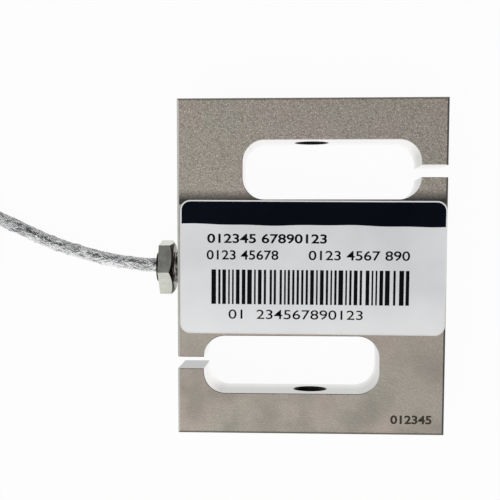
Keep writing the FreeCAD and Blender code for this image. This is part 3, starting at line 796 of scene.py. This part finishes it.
def end_directions():
    """The cable's end, its direction there and the direction to its left."""
    before, end = tail_points()[-2:]
    along = (end - before).normalized()
    return end, along, Vector((-along.y, along.x, 0))


def lead_points(colour):
    """A lead's route: out of the sleeve in the bundle, down to the floor and away in the fan."""
    end, along, aside = end_directions()
    left, up, (landing, bend, tip) = FAN[colour]
    first = end + (aside * left + Vector((0, 0, up))) * (LEAD_PITCH / 2)
    on_floor = Vector((end.x, end.y, LEAD / 2))
    return [
        first,
        first + along * LEAD_STRAIGHT,
        on_floor + along * LEAD_DROP_REACH + aside * landing,
        on_floor + aside * bend[0] + along * bend[1],
        on_floor + aside * tip[0] + along * tip[1],
    ]


def drain_points():
    """The drain wire's route, out of the sleeve's middle and almost straight ahead."""
    end, along, aside = end_directions()
    on_floor = Vector((end.x, end.y, DRAIN / 2))
    return [
        end,
        end + along * (LEAD_STRAIGHT * DRAIN_LATER),
        on_floor + along * (LEAD_DROP_REACH * DRAIN_LATER) + aside * 0.2,
        on_floor + along * DRAIN_REACH - aside * 0.4,
    ]


def make_lead(colour, tinned):
    """A lead's insulation, its cut rim drawn in a little, and the bare twisted tip."""
    line = smooth_line("lead_route", lead_points(colour), LEAD_STEPS)
    length = distances(line)[-1]
    rim = length - STRIPPED * MM

    def outline(run):
        drawn_in = RIM_DRAWN_IN * max(0.0, 1 - (rim - run) / (RIM_LENGTH * MM))
        return (LEAD / 2 - drawn_in) * MM

    bm = bmesh.new()
    sweep(bm, stretch(line, 0, rim), outline, sides=12)
    lead = new_piece("insulated_" + colour, bm,
                     soft_plastic(f"{colour} PVC insulation", *CORE_COLOURS[colour], 0.42))
    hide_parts("lead_" + colour)
    bm = bmesh.new()
    bare = stretch(line, rim - TIP_HIDDEN * MM, length)
    twist(bm, bare, *TIP_STRANDS)
    sweep(bm, bare, TIP_CORE * MM, sides=6)
    return [lead, new_piece("bare_" + colour, bm, tinned)]


def make_drain(tinned):
    """The screen's drain wire, bare twisted strands."""
    bm = bmesh.new()
    twist(bm, smooth_line("drain_route", drain_points(), LEAD_STEPS), *DRAIN_STRANDS)
    drain = new_piece("drain_strands", bm, tinned)
    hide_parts("drain_wire")
    return drain


def make_sleeve(line):
    """Shrunk tube on the cable's end: a soft rim behind, and a neck over the leads in front."""
    end, along, _ = end_directions()
    covered = (SLEEVE_LENGTH - SLEEVE_OVERHANG) * MM
    points = stretch(line, distances(line)[-1] - covered, CABLE_LENGTH)
    steps = 6
    points += [line[-1] + along * (SLEEVE_OVERHANG * MM * step / steps)
               for step in range(1, steps + 1)]
    whole = distances(points)[-1] / MM

    def outline(run):
        rear = min(1.0, run / MM / SLEEVE_ROUNDING)
        front = max(0.0, 1 - (whole - run / MM) / SLEEVE_NECK)
        swell = SLEEVE_SWELL * math.sqrt(rear)
        return (SLEEVE_MOUTH + swell - SLEEVE_TAPER * front * front) * MM

    bm = bmesh.new()
    sweep(bm, points, outline, sides=24)
    sleeve = new_piece("shrunk_sleeve", bm,
                       soft_plastic("black heat-shrink tube", "121213", "1d1d1f", 0.5))
    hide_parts("end_sleeve")
    return sleeve


# Tie round the coil

TIE_WIDTH = 4.0
TIE_THICKNESS = 0.4
TIE_ANGLE = 300.0
TIE_TWIST = 9.0
TIE_WIRE = 0.66
TIE_LAY = 3.2
TIE_LIFT = 0.6
TIE_STEPS_A_MM = 4
# Half the tie's thickness across its width: a wire's ridge between two thin wings
TIE_PROFILE = (0.04, 0.11, 0.11, 0.12, 0.2, 0.12, 0.11, 0.11, 0.04)


def make_tie():
    """A flat plastic-coated tie round the coil, its two ends twisted together on top."""
    place = Matrix.Translation(COIL_CENTRE * MM) @ Matrix.Rotation(math.radians(TIE_ANGLE), 4, "Z")
    half = COIL_COLUMNS * CABLE / 2 + TIE_THICKNESS / 2
    middle = COIL_OUTER - COIL_COLUMNS * CABLE / 2
    low, high = TIE_THICKNESS / 2, COIL_LAYERS * CABLE + 1.5 * TIE_THICKNESS
    path = rounded_rectangle(middle - half, low, middle + half, high, CABLE / 2, steps=8)
    across = range(len(TIE_PROFILE))
    bm = bmesh.new()
    rings = []
    for number, (x, z) in enumerate(path):
        before, after = path[number - 1], path[(number + 1) % len(path)]
        out = Vector((after[1] - before[1], 0, before[0] - after[0])).normalized()
        ring = []
        for side, order in ((1, across), (-1, reversed(across))):
            for step in order:
                beside = TIE_WIDTH * (step / (len(TIE_PROFILE) - 1) - 0.5)
                point = Vector((x, beside, z)) + out * TIE_PROFILE[step] * side
                ring.append(bm.verts.new(place @ (point * MM)))
        rings.append(ring)
    join_rings(bm, rings, closed=True)
    top = COIL_LAYERS * CABLE + 2 * TIE_THICKNESS + TIE_WIRE * TIE_LIFT
    ends = [place @ (Vector((middle, step / TIE_STEPS_A_MM - 0.5, top)) * MM)
            for step in range(int(TIE_TWIST * TIE_STEPS_A_MM))]
    twist(bm, ends, 2, TIE_WIRE / 2, TIE_WIRE, TIE_LAY)
    tie = new_piece("twist_tie", bm,
                    soft_plastic("black coated tie", "141414", "202020", 0.4))
    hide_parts("coil_tie")
    return tie


make_camera()
ROUTE = RUN_POINTS + coil_points() + tail_points()
cable_line = smooth_line("cable_route", ROUTE, CABLE_STEPS)
cable = make_cable(cable_line)
tinned_copper = drawn_wire("tinned copper strands", "a9aaa8", "c8c9c6", 0.28)
on_cable = [make_braid(smooth_line("braid_route", ROUTE, BRAID_STEPS)), make_sleeve(cable_line),
            make_tie(), make_drain(tinned_copper)]
for colour in CORE_COLOURS:
    on_cable += make_lead(colour, tinned_copper)


# Threads: 1/4-28 UNF in both arms, and the gland's fine thread between its head and the block

HOLE_WALL = 3.165
HOLE_CREST = 2.75
HOLE_PITCH = 25.4 / 28
ARM = 7.8
COUNTERSINK = 0.15
NECK_WALL = 2.96
NECK_CREST = 3.2
NECK_PITCH = 0.5
NECK_LENGTH = 1.15
THREAD_SIDES = 60
RINGS_A_TURN = 8
RUNOUT_RINGS = 6


def make_thread(name, turn, start, end, wall, crest, pitch, material):
    """A threaded surface from start to end along X, turned about Z, that runs out at both
    ends; all in millimetres."""
    steps = round((end - start) / pitch * RINGS_A_TURN)
    place = Matrix.Rotation(math.radians(turn), 4, "Z")
    bm = bmesh.new()
    rings = []
    for step in range(steps + 1):
        along = start + (end - start) * step / steps
        runout = min(1.0, min(step, steps - step) / RUNOUT_RINGS)
        ring = []
        for side in range(THREAD_SIDES):
            angle = math.tau * side / THREAD_SIDES
            flank = abs(((along / pitch - side / THREAD_SIDES) % 1) * 2 - 1)
            radius = wall + (crest - wall) * flank * runout
            point = Vector((along, radius * math.cos(angle), AXIS_HEIGHT + radius * math.sin(angle)))
            ring.append(bm.verts.new(place @ (point * MM)))
        rings.append(ring)
    join_rings(bm, rings)
    return new_piece(name, bm, material, smooth=False)


body_low, body_high = size_mm("s_beam_body")
thread_in_shade = cut_thread_steel()
for name, turn in (("upper_thread_turns", 90), ("lower_thread_turns", -90)):
    make_thread(name, turn, body_high.y - ARM + COUNTERSINK, body_high.y - COUNTERSINK, HOLE_WALL,
                HOLE_CREST, HOLE_PITCH, thread_in_shade)
# The neck's thread takes a paler, near-white copy of the gland's nickel, a painted highlight
make_thread("neck_thread_turns", 0, body_low.x - NECK_LENGTH, body_low.x, NECK_WALL, NECK_CREST,
            NECK_PITCH,
            turned_nickel("bright nickel-plated thread", "eeeeec", "fcfcfa"))


# Label print, and the mark on the steel

LABEL_TILT = -0.3
LABEL_RIM = 0.25
LABEL_CORNER = 1.9
PRINT_STEP = 0.006
BAND_LEFT = 8.17
BAND_RIGHT = 7.93
BAND_STEPS = 60
# The band's lower edge ripples: each wave's height, its speed along the edge and its start
BAND_RIPPLES = ((0.1, 11, 1.2), (0.05, 31, 0.0))
BARS_WEST = -18.88
BARS_EAST = 18.45
BARS_LOW = -6.91
BARS_HIGH = -0.35
# The bars' widths and the gaps between them, in modules
BAR_MODULE = 0.37
BAR_WIDTHS = (0.9, 1.2, 1.2, 1.9, 2.4)
BAR_GAPS = (0.9, 1.1, 1.1, 1.8)
# Each row has its digits, their west, low, east and high edges, and how bold they are
LABEL_ROWS = [
    ("012345 67890123", (-19.7, 4.62, 2.9, 6.42), 0.022),
    ("0123 45678", (-19.8, 1.5, -6.2, 3.32), 0.014),
    ("0123 4567 890", (-0.5, 1.5, 18.5, 3.32), 0.012),
    ("01  234567890123", (-15.6, -9.72, 9.84, -7.93), 0.004),
]
MARK_ROWS = [("012345", (15.25, -29.64, 23.05, -27.96), 0.03)]

label_turn = Matrix.Rotation(math.radians(LABEL_TILT), 4, "Z")


def label_edges():
    """The label's west, south, east and north edges before its tilt, and its face's height."""
    low, high = size_mm("rating_label")
    lean = math.tan(math.radians(abs(LABEL_TILT)))
    centre = (low + high) / 2
    half_width = (high.x - low.x - (high.y - low.y) * lean) / 2
    half_height = (high.y - low.y - (high.x - low.x) * lean) / 2
    return (centre.x - half_width, centre.y - half_height, centre.x + half_width,
            centre.y + half_height, high.z)


def make_label_face():
    """The silver field inside the label's white rim, and the dark band across its top."""
    west, south, east, north, face = label_edges()
    field = rounded_rectangle(west + LABEL_RIM, south + LABEL_RIM, east - LABEL_RIM,
                              north - LABEL_RIM, LABEL_CORNER - LABEL_RIM, steps=10)
    bm = bmesh.new()
    plate(bm, field, face, face + PRINT_STEP)
    bm.transform(label_turn)
    new_piece("label_field", bm,
              printed_film("silver polyester film", "e7e8ea", "f3f4f5", 0.3, 0.3, 0.5, 0.6),
              smooth=False)

    lower = []
    for step in range(BAND_STEPS + 1):
        share = step / BAND_STEPS
        ripple = sum(rise * math.sin(speed * share + start) for rise, speed, start in BAND_RIPPLES)
        x = west + LABEL_RIM + (east - west - 2 * LABEL_RIM) * share
        lower.append((x, BAND_LEFT + (BAND_RIGHT - BAND_LEFT) * share + ripple))
    bm = bmesh.new()
    plate(bm, lower + [(x, y) for x, y in field if y > 0], face + PRINT_STEP, face + 2 * PRINT_STEP)
    bm.transform(label_turn)
    new_piece("label_band", bm,
              printed_film("dark printed film", "030612", "070b18", 0.0, 0.3, 0.04), smooth=False)
    return face + PRINT_STEP


def make_bars(floor, material):
    """Upright bars in a made-up order that stands for no number."""
    chance = random.Random(5)
    bm = bmesh.new()
    x = BARS_WEST
    while x < BARS_EAST:
        right = min(x + BAR_MODULE * chance.choice(BAR_WIDTHS), BARS_EAST)
        plate(bm, [(x, BARS_LOW), (right, BARS_LOW), (right, BARS_HIGH), (x, BARS_HIGH)], floor,
              floor + PRINT_STEP)
        x = right + BAR_MODULE * chance.choice(BAR_GAPS)
    bm.transform(label_turn)
    new_piece("label_bars", bm, material, smooth=False)


def make_digits(name, rows, floor, place, material):
    """Rows of plain digits as thin plates, stretched to their edges."""
    bm = bmesh.new()
    for text, (west, low, east, high), boldness in rows:
        curve = bpy.data.curves.new("digits", "FONT")
        curve.body = text
        curve.offset = boldness
        curve.extrude = 0.5
        holder = put("digits", curve)
        bpy.context.view_layer.update()
        drawn = holder.evaluated_get(bpy.context.evaluated_depsgraph_get())
        mesh = bpy.data.meshes.new_from_object(drawn)
        bpy.data.objects.remove(holder)
        corners = [vertex.co for vertex in mesh.vertices]
        left, right = min(c.x for c in corners), max(c.x for c in corners)
        bottom, top = min(c.y for c in corners), max(c.y for c in corners)
        for corner in corners:
            x = west + (corner.x - left) / (right - left) * (east - west)
            y = low + (corner.y - bottom) / (top - bottom) * (high - low)
            z = floor + (PRINT_STEP if corner.z > 0 else 0)
            corner[:] = (x * MM, y * MM, z * MM)
        bm.from_mesh(mesh)
        bpy.data.meshes.remove(mesh)
    bm.transform(place)
    new_piece(name, bm, material, smooth=False)


print_floor = make_label_face()
label_ink = black_print("black label print", "07080b", "121418", 0.45)
make_bars(print_floor, label_ink)
make_digits("label_digits", LABEL_ROWS, print_floor, label_turn, label_ink)
make_digits("steel_mark", MARK_ROWS, body_high.z, Matrix(),
            black_print("laser-marked steel", "3d382d", "524d40", 0.6))


# Floor, light and background

FLOOR_WHITE = 0.95
FLOOR_CLOUD = 60.0
KEY_PLACE = (-150, -520, 620)
KEY_WATTS = 0.8
# The floor's radius and the lamp's width are in metres
FLOOR_RADIUS = 3.0
KEY_WIDTH = 0.5


def make_floor():
    """A pale table that rays from the camera and from shiny parts see as nearly white."""
    bm = bmesh.new()
    bmesh.ops.create_circle(bm, cap_ends=True, segments=96, radius=FLOOR_RADIUS)
    mesh = bpy.data.meshes.new("floor")
    bm.to_mesh(mesh)
    bm.free()
    floor = put("floor", mesh)
    material, tree, shader, where = new_material("pale floor")
    cloud = add(tree, "TexNoise", {"Vector": where, "Scale": 1 / (FLOOR_CLOUD * MM)})
    connect(tree, shader, {"Base Color": add(tree, "MixRGB", [cloud, "f2f2f2", "f6f6f6"]),
                           "Roughness": 0.9})
    rays = add(tree, "LightPath").outputs
    mirrored = add(tree, "Math", [rays["Is Glossy Ray"], rays["Is Transmission Ray"]],
                   operation="MAXIMUM")
    seen = add(tree, "Math", [rays["Is Camera Ray"], mirrored], operation="MAXIMUM")
    share = add(tree, "Math", [seen, FLOOR_WHITE], operation="MULTIPLY")
    white = add(tree, "Emission", ["ffffff", 1.0])
    mix = add(tree, "MixShader", [share, shader, white])
    connect(tree, tree.nodes["Material Output"], {"Surface": mix})
    mesh.materials.append(material)


def make_lamp():
    """A square soft lamp that faces the cell."""
    data = bpy.data.lights.new("key", "AREA")
    data.size = KEY_WIDTH
    data.energy = KEY_WATTS
    lamp = put("key", data)
    lamp.location = Vector(KEY_PLACE) * MM
    lamp.rotation_euler = (-lamp.location).to_track_quat("-Z", "Y").to_euler()


# The way to the studio's dark side, behind the cell to its right
DARK_SIDE = (0.62, 0.78, 0.0)
STUDIO_LIGHT = "fbfbfb"
STUDIO_OVERHEAD = "d6d6d7"
STUDIO_DARK = "58595c"


def make_world():
    """A studio that is pale to the front, left and overhead, and dark behind on the right.
    The camera sees only white beyond the floor."""
    world = bpy.data.worlds.new("studio")
    bpy.context.scene.world = world
    world.use_nodes = True
    tree = world.node_tree
    direction = add(tree, "TexCoord").outputs["Generated"]
    toward = add(tree, "VectorMath", [direction, DARK_SIDE], operation="DOT_PRODUCT")
    share = toward.outputs["Value"]
    pale = add(tree, "MixRGB", [add(tree, "MapRange", [share, -0.18, 0.1]), STUDIO_LIGHT,
                                STUDIO_OVERHEAD])
    dark = add(tree, "MapRange", [share, 0.15, 0.5], interpolation_type="SMOOTHSTEP")
    studio = add(tree, "MixRGB", [dark, pale, STUDIO_DARK])
    colour = add(tree, "MixRGB", [add(tree, "LightPath").outputs["Is Camera Ray"], studio, "ffffff"])
    connect(tree, tree.nodes["Background"], {"Color": colour, "Strength": 1.0})


make_floor()
make_world()
make_lamp()


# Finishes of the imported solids

nickel = turned_nickel("bright nickel-plated steel", "c6c7bd", "d4d5cc")
satin = satin_sheet_steel()
FINISHES = {
    "s_beam_body": blasted_nickel_steel(),
    "front_cover_plate": satin,
    "back_cover_plate": satin,
    "gland_screw": nickel,
    "gland_washer": nickel,
    "gland_bush": soft_plastic("nitrile rubber", "101010", "1b1b1a", 0.55),
    "terminal_board": solder_masked_board(),
    "rating_label": printed_film("white film edge", "f0f0f0", "f8f8f8", 0.0, 0.3, 0.5),
}
foil = strain_gauge_foil()
enamel = drawn_wire("enamelled copper wire", "a2502a", "c4703c", 0.3)
resistor = soft_plastic("moulded resistor", "151517", "232325", 0.4)
for wall in ("upper", "lower"):
    for side in ("left", "right"):
        FINISHES[f"gauge_{wall}_{side}"] = foil
        FINISHES[f"gauge_leads_{wall}_{side}"] = enamel
for name in ("zero_resistor", "span_resistor"):
    FINISHES[name] = resistor
for colour, shades in CORE_COLOURS.items():
    FINISHES["core_" + colour] = soft_plastic(f"{colour} PVC core", *shades, 0.42)
for name, material in FINISHES.items():
    materials = nodes[name].data.materials
    materials.clear()
    materials.append(material)
